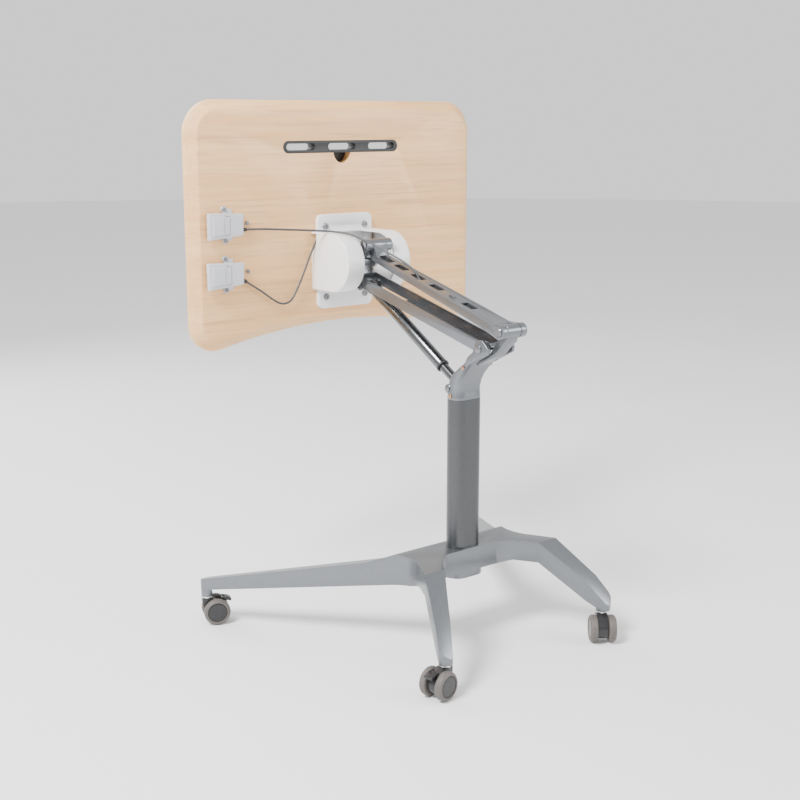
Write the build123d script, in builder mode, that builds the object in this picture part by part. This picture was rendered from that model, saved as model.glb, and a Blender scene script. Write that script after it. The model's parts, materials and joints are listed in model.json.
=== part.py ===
from build123d import *
import os
from math import cos, pi, radians, sin, sqrt, tan

os.makedirs("parts", exist_ok=True)

# Side-view positions are (Y, Z) pairs with Y counted from the column's axis, which stands at COL_Y.
COL_Y = 84.7
column_side = Plane(origin=(0, COL_Y, 0), x_dir=(0, 1, 0), z_dir=(1, 0, 0))

# Tabletop, hanging upright. "b" is height above the mounting plate's centre, "n" is distance out
# from the board's underside.
UNDERSIDE_Y = -285.3
PLATE_Z = 694.3
BOARD_W, BOARD_T = 700.0, 25.0
BOARD_TOP_B = 315.7
EDGE_MID_B, EDGE_END_B = -123.5, -172.0
BACK_CORNER_R, FRONT_CORNER_R = 65.0, 52.0
BEVEL_WIDE, BEVEL_DEEP = 18.5, 15.0
SLOT_B, SLOT_L, SLOT_H = 226.5, 284.0, 24.0
NOTCH_B, NOTCH_R = 215.0, 21.0
INSERT_GAP = 0.1
WINDOW_L, WINDOW_H, WINDOW_PITCH = 68.0, 13.0, 100.0
LIP_T = 6.0
PLATE_W, PLATE_H, PLATE_T, PLATE_R = 136.0, 188.0, 8.0, 12.0
SCREW_DX, SCREW_DB = 98.0, 141.2
SCREW_R, SCREW_HEAD_R, SCREW_HEAD_T, SCREW_DEEP = 2.5, 6.5, 3.0, 20.0
DRIVE_R, DRIVE_DEEP = 2.6, 1.6

# Linkage pivots as (Y from the column, Z).
LIFT_REST = 18.0
ARM_L = 400.0
LOW_HEAD = (74.0, 574.0)
UP_HEAD = (120.0, 609.0)
ARM_C, ARM_S = cos(radians(LIFT_REST)), sin(radians(LIFT_REST))
TILT = (LOW_HEAD[0] - ARM_L * ARM_C, LOW_HEAD[1] + ARM_L * ARM_S)
UP_BOARD = (UP_HEAD[0] - ARM_L * ARM_C, UP_HEAD[1] + ARM_L * ARM_S)
PIN_R, SHAFT_R, RUN_GAP = 5.0, 6.0, 0.05
BUSH_R, SHAFT_BUSH_R = 7.0, 8.0
LUG_R, LUG_HALF = 12.5, 15.7
EAR_IN = 16.0

# Base casting.
LEG_PLAN = [
    (0, -66), (105.8, -66), (339.6, -383.4), (360, -369), (116, -9.6),
    (218.5, 186), (197.2, 199), (79, 27), (0, 27),
]
FRONT_ARCH_R, SIDE_ARCH_R, REAR_ARCH_R, TIP_R = 60.0, 85.0, 45.0, 9.0
TOP_LINE = [
    (-390, 72), (-386, 84), (-376, 90), (-272, 113.6), (-188, 135), (-120, 152), (-88, 160),
    (-66, 169), (-35, 184), (85, 184), (124, 150), (157, 120), (176, 95), (190, 78), (200, 66),
]
SKIRT_LINE = [
    (200, 58), (185, 60), (162, 76), (124, 111), (85, 144), (45, 145), (0, 130), (-107, 111),
    (-185, 99), (-272, 85), (-363, 71), (-390, 68),
]
CASTING_WALL, CASTING_ROOF = 5.0, 6.5
STEM_SOLID_R, STEM_BOSS_R, STEM_BOSS_Z = 17.0, 11.0, 56.0
FRONT_STEM, REAR_STEM = (344.0, -368.0), (199.0, 178.0)
STEM_BOSS_L, STEM_IN_BOSS = 20.0, 16.0
PANEL_HALF, PANEL_T, PANEL_GAP = 76.0, 1.6, 0.15

# Column.
COL_W, COL_D, COL_WALL = 68.0, 42.0, 2.5
COL_FOOT_Z, COL_TOP_Z, HUB_TOP_Z = 134.0, 469.0, 184.0
SOCKET_GAP, SOCKET_WALL, SOCKET_FLOOR_Z = 0.2, 6.0, 127.0
FOOT_T, FOOT_BOLT_X, FOOT_BOLT_R = 6.0, 17.0, 4.0
HEX_R, HEX_T = 6.5, 5.0
SPIGOT_GAP, SPIGOT_L = 0.5, 26.0

# Head casting.
HEAD_HALF, HEAD_EAR_IN, WEB_HALF = 33.6, 27.6, 13.9
FORK_HALF, FORK_R, FORK_MOUTH = 10.5, 13.0, 44.0

# Gas spring, from its lower pin up to the trunnions in the lower arm.
GAS_FOOT, GAS_HEAD = (-8.0, 489.0), (-280.0, 653.0)
GAS_DY, GAS_DZ = GAS_HEAD[0] - GAS_FOOT[0], GAS_HEAD[1] - GAS_FOOT[1]
GAS_L = sqrt(GAS_DY**2 + GAS_DZ**2)
GAS_PIN_R, CYL_R, CYL_BORE_R, CYL_END = 4.0, 9.0, 7.5, 190.0
ROD_R, PISTON_R, PISTON_AT, PISTON_T = 4.0, 7.42, 90.0, 8.0
SLEEVE_R, SLEEVE_IN_R, RING_AT, RING_T, RING_R = 12.0, 10.0, 58.6, 4.5, 12.75
RELEASE_AT, RELEASE_HALF, RELEASE_R = 296.0, 12.0, 8.0

# Casters as (name, X, Y from the column, trail direction X, Y).
CASTERS = [
    ("L", 344.0, -368.0, -0.9235, 0.3836),
    ("F", 199.0, 178.0, 0.9848, 0.1736),
    ("R", -199.0, 178.0, 0.6239, 0.7815),
    ("B", -344.0, -368.0, 0.9235, 0.3836),
]
BRAKED = ("L", "F")
WHEEL_R, WHEEL_T, WHEEL_IN, TRAIL, AXLE_R = 26.0, 14.5, 10.5, 17.0, 3.0
CASTER_BODY_HALF, CASTER_BODY_R, COLLAR_TOP = 10.0, 19.0, 52.5
STEM_R, STEM_GAP, STEM_FOOT_Z, RING_Z = 5.0, 0.06, 36.0, 53.0

# Levers as (name, base corners, paddle corners, tabs, extra screw) in (X, b).
LEVER_SEAM, LEVER_GAP, LEVER_PIVOT_X, LEVER_PIVOT_N = 274.6, 0.8, 280.0, 10.0
LEVERS = [
    ("lift", [(244, 105), (245, 63.5)], [(320, 108), (320, 57.5)], [(281, 114), (279, 54.5)], (228.6, 85.5)),
    ("tilt", [(245, 12), (246.5, -30)], [(324, 14.7), (323, -36)], [(281, 20.5), (280, -39)], (229, -7)),
]
LEVER_T, FLANGE_T, TAB_R, EAR_T, PADDLE_LOW, PADDLE_HIGH = 14.0, 4.0, 6.0, 5.0, 5.0, 17.0

CABLE_R = 2.0
LIFT_CABLE = [
    (243.5, 9, 768.6), (205, 9, 768), (175, 15, 766), (142, 24, 764), (104, 38, 761.5), (73, 57, 759.6),
    (56, 84, 757), (47, 105, 751), (37, 127, 743), (30, 153, 732.5), (20, 181, 720.5), (9, 210, 706.5),
    (1.5, 233, 690), (0, 242, 673), (0, 268, 664),
]
TILT_CABLE = [
    (244, 8, 672), (208, 8, 650.5), (181, 9, 630.5), (158, 8, 617.5), (137, 9, 620.5), (120.5, 8, 643),
    (104.5, 9, 675), (90, 8.6, 706), (76.5, 10, 733), (70.5, 11.6, 746),
]


def board_plane(n):
    """The board's plane at n out from its underside: local x is X, local y is b, and a positive
    extrusion runs back towards the board's upper side."""
    return Plane(origin=(0, UNDERSIDE_Y + n, PLATE_Z), x_dir=(1, 0, 0), z_dir=(0, -1, 0))


def side_at(pivot, x=0.0):
    """Side plane whose origin is on a pivot line, x to the side."""
    return Plane(origin=(x, COL_Y + pivot[0], pivot[1]), x_dir=(0, 1, 0), z_dir=(1, 0, 0))


def arm_plane(pivot, x=0.0):
    """Side plane of an arm: local x runs from the head pivot to the board, local y is up, and a
    positive extrusion runs towards -X."""
    return Plane(origin=(x, COL_Y + pivot[0], pivot[1]), x_dir=(0, -ARM_C, ARM_S), z_dir=(-1, 0, 0))


def stem_places(sign):
    """The two caster stems on one side of the base, as (X, Y)."""
    return [(sign * x, COL_Y + y) for x, y in (FRONT_STEM, REAR_STEM)]


def save(builder, name):
    builder.part.label = name
    export_step(builder.part, f"parts/{name}.step")


# ---------------------------------------------------------------- base
with BuildSketch(Plane(origin=(0, COL_Y, 0))) as leg_plan:
    with BuildLine():
        Polyline(*LEG_PLAN)
        mirror(about=Plane.YZ)
    make_face()
    for corner, radius in (
        (LEG_PLAN[1], FRONT_ARCH_R), (LEG_PLAN[4], SIDE_ARCH_R), (LEG_PLAN[7], REAR_ARCH_R),
        (LEG_PLAN[2], TIP_R), (LEG_PLAN[3], TIP_R), (LEG_PLAN[5], TIP_R), (LEG_PLAN[6], TIP_R),
    ):
        near = [
            v for v in leg_plan.vertices()
            if abs(abs(v.X) - corner[0]) < 1 and abs(v.Y - corner[1]) < 1
        ]
        fillet(near, radius)

with BuildPart() as casting_hollow:
    with BuildSketch():
        add(leg_plan.sketch)
        offset(amount=-CASTING_WALL)
        with Locations((0, COL_Y)):
            SlotOverall(COL_W + 2 * SOCKET_WALL, COL_D + 2 * SOCKET_WALL, mode=Mode.SUBTRACT)
        for sign in (-1, 1):
            with Locations(*stem_places(sign)):
                Circle(STEM_SOLID_R, mode=Mode.SUBTRACT)
    extrude(amount=HUB_TOP_Z)
    with BuildSketch(column_side):
        with BuildLine():
            Polyline(
                *[(y, z - CASTING_ROOF) for y, z in TOP_LINE[2:-1]], (TOP_LINE[-2][0], 0), (TOP_LINE[2][0], 0),
                close=True,
            )
        make_face()
    extrude(amount=BOARD_W, both=True, mode=Mode.INTERSECT)

def panel_band(gap):
    """Cross-section of the panel or of its pocket, as (Y, Z) corners on the hub's front slope."""
    (y0, z0), (y1, z1) = TOP_LINE[7], TOP_LINE[8]
    slope = (z1 - z0) / (y1 - y0)
    low, high = y0 + 4 - gap, y1 - 7 + gap
    deep = PANEL_T + gap
    return [
        (low, z0 + slope * (low - y0)), (high, z0 + slope * (high - y0)),
        (high, z0 + slope * (high - y0) - deep), (low, z0 + slope * (low - y0) - deep),
    ]


with BuildPart() as base_casting:
    with BuildSketch():
        add(leg_plan.sketch)
    extrude(amount=HUB_TOP_Z)
    with BuildSketch(column_side):
        with BuildLine():
            Polyline(*TOP_LINE, *SKIRT_LINE, close=True)
        make_face()
    extrude(amount=BOARD_W, both=True, mode=Mode.INTERSECT)
    add(casting_hollow.part, mode=Mode.SUBTRACT)
    with BuildSketch(Plane.XY.offset(SOCKET_FLOOR_Z)):
        with Locations((0, COL_Y)):
            SlotOverall(COL_W + 2 * SOCKET_WALL, COL_D + 2 * SOCKET_WALL)
    extrude(amount=HUB_TOP_Z - SOCKET_FLOOR_Z)
    with BuildSketch(Plane.XY.offset(COL_FOOT_Z)):
        with Locations((0, COL_Y)):
            SlotOverall(COL_W + 2 * SOCKET_GAP, COL_D + 2 * SOCKET_GAP)
    extrude(amount=HUB_TOP_Z - COL_FOOT_Z, mode=Mode.SUBTRACT)
    with Locations((FOOT_BOLT_X, COL_Y, SOCKET_FLOOR_Z), (-FOOT_BOLT_X, COL_Y, SOCKET_FLOOR_Z)):
        Hole(FOOT_BOLT_R, COL_FOOT_Z)
    with BuildSketch(column_side):
        with BuildLine():
            Polyline(*panel_band(PANEL_GAP), close=True)
        make_face()
    extrude(amount=PANEL_HALF + PANEL_GAP, both=True, mode=Mode.SUBTRACT)
    for sign in (-1, 1):
        with BuildSketch(Plane.XY.offset(STEM_BOSS_Z)):
            with Locations(*stem_places(sign)):
                Circle(STEM_BOSS_R)
        extrude(amount=STEM_BOSS_L)
        with BuildSketch(Plane.XY.offset(STEM_BOSS_Z)):
            with Locations(*stem_places(sign)):
                Circle(STEM_R)
        extrude(amount=STEM_IN_BOSS, mode=Mode.SUBTRACT)
save(base_casting, "base_casting")

with BuildPart() as hub_cover_panel:
    with BuildSketch(column_side):
        with BuildLine():
            Polyline(*panel_band(0), close=True)
        make_face()
    extrude(amount=PANEL_HALF, both=True)
save(hub_cover_panel, "hub_cover_panel")

with BuildPart() as column_tube:
    with BuildSketch(Plane.XY.offset(COL_FOOT_Z)):
        with Locations((0, COL_Y)):
            SlotOverall(COL_W, COL_D)
            SlotOverall(COL_W - 2 * COL_WALL, COL_D - 2 * COL_WALL, mode=Mode.SUBTRACT)
    extrude(amount=COL_TOP_Z - COL_FOOT_Z)
    with BuildSketch(Plane.XY.offset(COL_FOOT_Z)):
        with Locations((0, COL_Y)):
            SlotOverall(COL_W, COL_D)
    extrude(amount=FOOT_T)
    with Locations((FOOT_BOLT_X, COL_Y, COL_FOOT_Z), (-FOOT_BOLT_X, COL_Y, COL_FOOT_Z)):
        Hole(FOOT_BOLT_R, 3 * FOOT_T)
save(column_tube, "column_tube")

with BuildPart() as column_bolts:
    for sign in (-1, 1):
        with BuildSketch(Plane.XY.offset(SOCKET_FLOOR_Z)):
            with Locations((sign * FOOT_BOLT_X, COL_Y)):
                Circle(FOOT_BOLT_R)
        extrude(amount=COL_FOOT_Z + 2 * FOOT_T - SOCKET_FLOOR_Z)
        with BuildSketch(Plane.XY.offset(SOCKET_FLOOR_Z)):
            with Locations((sign * FOOT_BOLT_X, COL_Y)):
                RegularPolygon(HEX_R, 6)
        extrude(amount=-HEX_T)
        with BuildSketch(Plane.XY.offset(COL_FOOT_Z + FOOT_T)):
            with Locations((sign * FOOT_BOLT_X, COL_Y)):
                RegularPolygon(HEX_R, 6)
        extrude(amount=HEX_T)
save(column_bolts, "column_bolts")

# ---------------------------------------------------------------- head
NECK = [
    (-21, 469), (-19, 479), (-17, 492), (-5, 515), (47, 552.5), (59, 549), (26, 519), (17, 500), (19, 484),
    (21, 469),
]
EAR = [(40, 547), (47, 559), (61, 573), (67, 585), (89, 598), (103, 586), (59, 549), (50, 541)]
LUG_NECK = [(84, 588), (101, 597), (109, 603), (128.5, 600), (103, 586)]
with BuildPart() as head_casting:
    with BuildSketch(column_side):
        with BuildLine():
            Polyline(*NECK, close=True)
        make_face()
    extrude(amount=HEAD_HALF, both=True)
    with BuildSketch(side_at((0, 0), HEAD_EAR_IN)):
        with BuildLine():
            Polyline(*EAR, close=True)
        make_face()
    extrude(amount=HEAD_HALF - HEAD_EAR_IN)
    mirror(about=Plane.YZ)
    with BuildSketch(column_side):
        with BuildLine():
            Polyline(*EAR, close=True)
        make_face()
        with BuildLine():
            Polyline(*LUG_NECK, close=True)
        make_face()
    extrude(amount=WEB_HALF, both=True)
    with BuildSketch(side_at(UP_HEAD)):
        Circle(LUG_R)
    extrude(amount=LUG_HALF, both=True)
    with BuildSketch(side_at(GAS_FOOT)):
        Circle(FORK_R - 3)
    extrude(amount=HEAD_HALF - 5, both=True)
    with BuildSketch(Plane.XY.offset(COL_TOP_Z - SPIGOT_L)):
        with Locations((0, COL_Y)):
            SlotOverall(COL_W - 2 * COL_WALL - 2 * SPIGOT_GAP, COL_D - 2 * COL_WALL - 2 * SPIGOT_GAP)
    extrude(amount=SPIGOT_L)
    with BuildSketch(side_at(GAS_FOOT)):
        Circle(FORK_R)
        with Locations((-FORK_MOUTH / 2, 2)):
            Rectangle(FORK_MOUTH, 2 * FORK_R + 4)
        with Locations((9 - FORK_MOUTH / 2, 18)):
            Rectangle(FORK_MOUTH, FORK_MOUTH)
    extrude(amount=FORK_HALF, both=True, mode=Mode.SUBTRACT)
    for pivot, radius in ((UP_HEAD, PIN_R), (LOW_HEAD, PIN_R), (GAS_FOOT, GAS_PIN_R)):
        with BuildSketch(side_at(pivot)):
            Circle(radius)
        extrude(amount=HEAD_HALF + 1, both=True, mode=Mode.SUBTRACT)
save(head_casting, "head_casting")


def headed_pin(pivot, radius, half, cap_r, cap_t):
    """A pin across a pivot line with a flat cap outside each end."""
    with BuildPart() as pin:
        with BuildSketch(side_at(pivot)):
            Circle(radius)
        extrude(amount=half, both=True)
        with BuildSketch(side_at(pivot, half)):
            Circle(cap_r)
        extrude(amount=cap_t)
        mirror(about=Plane.YZ)
    return pin


save(headed_pin(UP_HEAD, PIN_R, 29.3, 8.5, 2.5), "upper_head_pin")
save(headed_pin(LOW_HEAD, PIN_R, HEAD_HALF, 7.5, 2.0), "lower_head_pin")
save(headed_pin(GAS_FOOT, GAS_PIN_R, HEAD_HALF, 6.0, 2.0), "gas_lower_pin")

HEAD_SCREWS = [(476.0, 4.0), (534.0, 3.5)]
with BuildPart() as head_screws:
    for z, radius in HEAD_SCREWS:
        y = 0.0 if z < COL_TOP_Z + 20 else 34.0
        with BuildSketch(side_at((y, z), HEAD_HALF)):
            Circle(radius)
        extrude(amount=2)
    mirror(about=Plane.YZ)
save(head_screws, "head_screws")

# ---------------------------------------------------------------- arms
UP_TOP_HEAD, UP_TOP_SLOPE, UP_SKIN = 3.5, -19.5 / ARM_L, 3.5
UP_HALF_HEAD, UP_HALF_BOARD, UP_START, UP_END = 27.0, 20.0, 17.0, 383.0
UP_DEEP_HEAD, UP_DEEP_BOARD = 14.0, 8.5
UP_SLOTS, UP_SLOT_L, UP_SLOT_W = (359.0, 314.0, 262.0, 207.0, 112.0), 22.0, 10.0
UP_BUMP_U, UP_BUMP_L, UP_BUMP_W, UP_BUMP_T = 160.0, 16.0, 8.0, 2.0
ARM_EAR_OUT = 29.0


def up_top(u):
    return UP_TOP_HEAD + UP_TOP_SLOPE * u


with BuildPart() as upper_arm:
    with BuildSketch(arm_plane(UP_HEAD)):
        with BuildLine():
            Polyline(
                (UP_START, up_top(UP_START)), (UP_END, up_top(UP_END)),
                (UP_END, up_top(UP_END) - UP_DEEP_BOARD), (UP_START, up_top(UP_START) - UP_DEEP_HEAD), close=True,
            )
        make_face()
    extrude(amount=UP_HALF_HEAD, both=True)
    top_plane = Plane(
        origin=(0, COL_Y + UP_HEAD[0], UP_HEAD[1]), x_dir=(0, -ARM_C, ARM_S), z_dir=(0, ARM_S, ARM_C)
    )
    with BuildSketch(top_plane):
        with BuildLine():
            Polyline(
                (UP_START, UP_HALF_HEAD), (UP_END, UP_HALF_BOARD), (UP_END, -UP_HALF_BOARD),
                (UP_START, -UP_HALF_HEAD), close=True,
            )
        make_face()
    extrude(amount=40, both=True, mode=Mode.INTERSECT)
    fillet(upper_arm.faces().sort_by(Axis((0, 0, 0), (0, ARM_S, ARM_C)))[-1].edges(), 2.5)
    with BuildSketch(arm_plane(UP_HEAD)):
        with BuildLine():
            Polyline(
                (UP_START + 3, up_top(UP_START) - UP_SKIN), (UP_END - 14, up_top(UP_END) - UP_SKIN),
                (UP_END - 14, -60), (UP_START + 3, -60), close=True,
            )
        make_face()
    extrude(amount=UP_HALF_BOARD - UP_SKIN, both=True, mode=Mode.SUBTRACT)
    with BuildSketch(top_plane.offset(-30)):
        for u in UP_SLOTS:
            with Locations((u, 0)):
                SlotOverall(UP_SLOT_L, UP_SLOT_W)
    extrude(amount=60, mode=Mode.SUBTRACT)
    with BuildSketch(top_plane.offset(up_top(UP_BUMP_U) - 1)):
        with Locations((UP_BUMP_U, 0)):
            SlotOverall(UP_BUMP_L, UP_BUMP_W)
    extrude(amount=1 + UP_BUMP_T)
    with BuildSketch(arm_plane(UP_HEAD, EAR_IN)):
        Circle(LUG_R + 0.5)
        with BuildLine():
            Polyline((-2, 12.8), (32, up_top(32) - 0.5), (32, up_top(32) - 13), (2, -12.8), close=True)
        make_face()
    extrude(amount=-(ARM_EAR_OUT - EAR_IN))
    mirror(about=Plane.YZ)
    with BuildSketch(arm_plane(UP_HEAD)):
        with Locations((ARM_L, 0)):
            Circle(LUG_R)
        with BuildLine():
            Polyline(
                (UP_END - 12, up_top(UP_END - 12) - 0.5), (396, 11), (408, -6), (UP_END + 6, up_top(UP_END) - 8),
                (UP_END - 12, up_top(UP_END) - 8), close=True,
            )
        make_face()
    extrude(amount=LUG_HALF, both=True)
    with BuildSketch(arm_plane(UP_HEAD)):
        Circle(BUSH_R)
        with Locations((ARM_L, 0)):
            Circle(BUSH_R)
    extrude(amount=ARM_EAR_OUT + 1, both=True, mode=Mode.SUBTRACT)
save(upper_arm, "upper_arm")


with BuildPart() as upper_arm_bushes:
    for pivot, low_x, high_x in (
        (UP_HEAD, EAR_IN, ARM_EAR_OUT), (UP_HEAD, -ARM_EAR_OUT, -EAR_IN), (UP_BOARD, -LUG_HALF, LUG_HALF)
    ):
        with BuildSketch(side_at(pivot, low_x)):
            Circle(BUSH_R)
            Circle(PIN_R + RUN_GAP, mode=Mode.SUBTRACT)
        extrude(amount=high_x - low_x)
save(upper_arm_bushes, "upper_arm_bushes")

LOW_HALF, LOW_RAIL_IN, LOW_EYE_IN, LOW_DEEP, LOW_SLOPE = 27.0, 23.2, 14.5, 10.0, -0.075
LOW_FLOOR, LOW_FLOOR_START, LOW_FLOOR_END, LOW_END = 3.5, 34.0, 262.0, 390.0
LOW_SLOTS = (70.0, 120.0, 170.0, 220.0)
GAS_U = -(GAS_HEAD[0] - LOW_HEAD[0]) * ARM_C + (GAS_HEAD[1] - LOW_HEAD[1]) * ARM_S
GAS_V = (GAS_HEAD[0] - LOW_HEAD[0]) * ARM_S + (GAS_HEAD[1] - LOW_HEAD[1]) * ARM_C
BLOCK_START, TRUNNION_R, TRUNNION_IN = 379.5, 4.5, 13.4


def low_mid(u):
    return LOW_SLOPE * u


with BuildPart() as lower_arm:
    with BuildSketch(arm_plane(LOW_HEAD, LOW_RAIL_IN)):
        with BuildLine():
            Polyline(
                (4, 10.5), (30, low_mid(30) + LOW_DEEP), (LOW_END, low_mid(LOW_END) + LOW_DEEP),
                (LOW_END, low_mid(LOW_END) - LOW_DEEP), (30, low_mid(30) - LOW_DEEP), (4, -10.5), close=True,
            )
        make_face()
        with Locations((GAS_U, GAS_V)):
            Circle(10)
    extrude(amount=-(LOW_HALF - LOW_RAIL_IN))
    with BuildSketch(arm_plane(LOW_HEAD, LOW_EYE_IN)):
        Circle(LUG_R)
    extrude(amount=-(LOW_HALF - LOW_EYE_IN))
    mirror(about=Plane.YZ)
    with BuildSketch(arm_plane(LOW_HEAD)):
        with BuildLine():
            Polyline(
                (LOW_FLOOR_START, low_mid(LOW_FLOOR_START) - LOW_DEEP + LOW_FLOOR),
                (LOW_FLOOR_END, low_mid(LOW_FLOOR_END) - LOW_DEEP + LOW_FLOOR),
                (LOW_FLOOR_END, low_mid(LOW_FLOOR_END) - LOW_DEEP),
                (LOW_FLOOR_START, low_mid(LOW_FLOOR_START) - LOW_DEEP), close=True,
            )
        make_face()
        with BuildLine():
            Polyline(
                (BLOCK_START, low_mid(BLOCK_START) + LOW_DEEP), (LOW_END, low_mid(LOW_END) + LOW_DEEP),
                (LOW_END, low_mid(LOW_END) - LOW_DEEP), (BLOCK_START, low_mid(BLOCK_START) - LOW_DEEP), close=True,
            )
        make_face()
    extrude(amount=LOW_HALF, both=True)
    low_plane = Plane(
        origin=(0, COL_Y + LOW_HEAD[0], LOW_HEAD[1]), x_dir=(0, -ARM_C, ARM_S), z_dir=(0, ARM_S, ARM_C)
    )
    with BuildSketch(low_plane.offset(-60)):
        for u in LOW_SLOTS:
            with Locations((u, 0)):
                SlotOverall(30, 18)
    extrude(amount=60, mode=Mode.SUBTRACT)
    with BuildSketch(arm_plane(LOW_HEAD)):
        with Locations((ARM_L, 0)):
            Circle(LUG_R + 1.5)
        with BuildLine():
            Polyline((BLOCK_START, -37), (BLOCK_START, -20), (391, 8), (411, -6), (LOW_END + 2, -38), close=True)
        make_face()
    extrude(amount=LUG_HALF, both=True)
    with BuildSketch(arm_plane(LOW_HEAD)):
        Circle(BUSH_R)
        with Locations((ARM_L, 0)):
            Circle(SHAFT_BUSH_R)
        with Locations((GAS_U, GAS_V)):
            Circle(TRUNNION_R)
    extrude(amount=LOW_HALF + 1, both=True, mode=Mode.SUBTRACT)
save(lower_arm, "lower_arm")

with BuildPart() as lower_arm_bushes:
    for pivot, low_x, high_x, outer, inner in (
        (LOW_HEAD, LOW_EYE_IN, LOW_HALF, BUSH_R, PIN_R),
        (LOW_HEAD, -LOW_HALF, -LOW_EYE_IN, BUSH_R, PIN_R),
        (TILT, -LUG_HALF, LUG_HALF, SHAFT_BUSH_R, SHAFT_R),
    ):
        with BuildSketch(side_at(pivot, low_x)):
            Circle(outer)
            Circle(inner + RUN_GAP, mode=Mode.SUBTRACT)
        extrude(amount=high_x - low_x)
save(lower_arm_bushes, "lower_arm_bushes")

with BuildPart() as gas_upper_pin:
    with BuildSketch(side_at(GAS_HEAD, TRUNNION_IN)):
        Circle(TRUNNION_R)
    extrude(amount=LOW_HALF - TRUNNION_IN)
    with BuildSketch(side_at(GAS_HEAD, LOW_HALF)):
        Circle(6.5)
    extrude(amount=2)
    mirror(about=Plane.YZ)
save(gas_upper_pin, "gas_upper_pin")

# ---------------------------------------------------------------- carrier and tilt
CARRIER_OUT, CARRIER_EAR_OUT, CARRIER_BAR_R = 24.0, 31.0, 5.0
CARRIER_MID = ((TILT[0] + UP_BOARD[0]) / 2, (TILT[1] + UP_BOARD[1]) / 2)
with BuildPart() as carrier_link:
    with BuildSketch(side_at((0, 0), EAR_IN)):
        with Locations(TILT, UP_BOARD):
            Circle(LUG_R)
        make_hull()
    extrude(amount=CARRIER_OUT - EAR_IN)
    with BuildSketch(side_at(UP_BOARD, EAR_IN)):
        Circle(LUG_R)
    extrude(amount=CARRIER_EAR_OUT - EAR_IN)
    mirror(about=Plane.YZ)
    with BuildSketch(side_at(CARRIER_MID)):
        Circle(CARRIER_BAR_R)
    extrude(amount=CARRIER_OUT - 1, both=True)
    for pivot, radius in ((TILT, SHAFT_R), (UP_BOARD, PIN_R)):
        with BuildSketch(side_at(pivot)):
            Circle(radius)
        extrude(amount=CARRIER_EAR_OUT + 1, both=True, mode=Mode.SUBTRACT)
save(carrier_link, "carrier_link")
save(headed_pin(UP_BOARD, PIN_R, CARRIER_EAR_OUT, 9.0, 2.5), "carrier_pin")
save(headed_pin(TILT, SHAFT_R, 30.0, 9.0, 3.0), "tilt_shaft")

BRACKET_IN, BRACKET_OUT, BRACKET_T, BRACKET_HALF_B, BRACKET_TIP_R = 24.5, 29.5, 4.0, 20.0, 14.0
TILT_N, TILT_B = TILT[0] - (UNDERSIDE_Y - COL_Y), TILT[1] - PLATE_Z
with BuildPart() as tilt_bracket:
    with BuildSketch(board_plane(PLATE_T + BRACKET_T)):
        Rectangle(2 * BRACKET_OUT, 2 * BRACKET_HALF_B)
    extrude(amount=BRACKET_T)
    with BuildSketch(side_at((UNDERSIDE_Y - COL_Y, PLATE_Z), BRACKET_IN)):
        with Locations((TILT_N, TILT_B)):
            Circle(BRACKET_TIP_R)
        with Locations((PLATE_T + BRACKET_T / 2, 0)):
            Rectangle(BRACKET_T, 2 * BRACKET_HALF_B)
        make_hull()
        with Locations((TILT_N, TILT_B)):
            Circle(SHAFT_R + RUN_GAP, mode=Mode.SUBTRACT)
    extrude(amount=BRACKET_OUT - BRACKET_IN)
    mirror(about=Plane.YZ)
save(tilt_bracket, "tilt_bracket")

COVER_HALF, COVER_R, COVER_WALL, COVER_SLOT_HALF, COVER_SLOT_N = 78.0, 57.5, 3.5, 38.0, 13.0
COVER_SOFT, COVER_GAP = 3.0, 0.3
COVER_NOTCH_Z, COVER_NOTCH_H, COVER_NOTCH_N = 737.0, 30.0, 16.0
with BuildPart() as tilt_cover:
    with BuildSketch(side_at((UNDERSIDE_Y - COL_Y, 0))):
        with Locations((TILT_N / 2, TILT[1])):
            Rectangle(TILT_N, 2 * COVER_R)
        with Locations((TILT_N, TILT[1])):
            Circle(COVER_R)
    extrude(amount=COVER_HALF, both=True)
    end_faces = tilt_cover.faces().filter_by(Axis.X)
    fillet([e for f in end_faces for e in f.edges() if e.center().Y > UNDERSIDE_Y + 1], COVER_SOFT)
    with BuildSketch(side_at((UNDERSIDE_Y - COL_Y, 0))):
        with Locations((TILT_N / 2 - 1, TILT[1])):
            Rectangle(TILT_N + 2, 2 * (COVER_R - COVER_WALL))
        with Locations((TILT_N, TILT[1])):
            Circle(COVER_R - COVER_WALL)
    extrude(amount=COVER_HALF - COVER_WALL, both=True, mode=Mode.SUBTRACT)
    with BuildSketch(board_plane(PLATE_T + COVER_GAP)):
        RectangleRounded(PLATE_W + 2 * COVER_GAP, PLATE_H + 2 * COVER_GAP, PLATE_R + COVER_GAP)
    extrude(amount=PLATE_T + 1, mode=Mode.SUBTRACT)
    with BuildSketch(board_plane(COVER_SLOT_N)):
        Rectangle(2 * COVER_SLOT_HALF, PLATE_H)
    extrude(amount=-(TILT_N + COVER_R), mode=Mode.SUBTRACT)
    with BuildSketch(side_at((UNDERSIDE_Y - COL_Y, COVER_NOTCH_Z), COVER_HALF - 2 * COVER_WALL)):
        Rectangle(2 * COVER_NOTCH_N, COVER_NOTCH_H)
    extrude(amount=3 * COVER_WALL, mode=Mode.SUBTRACT)
save(tilt_cover, "tilt_cover")

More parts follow.
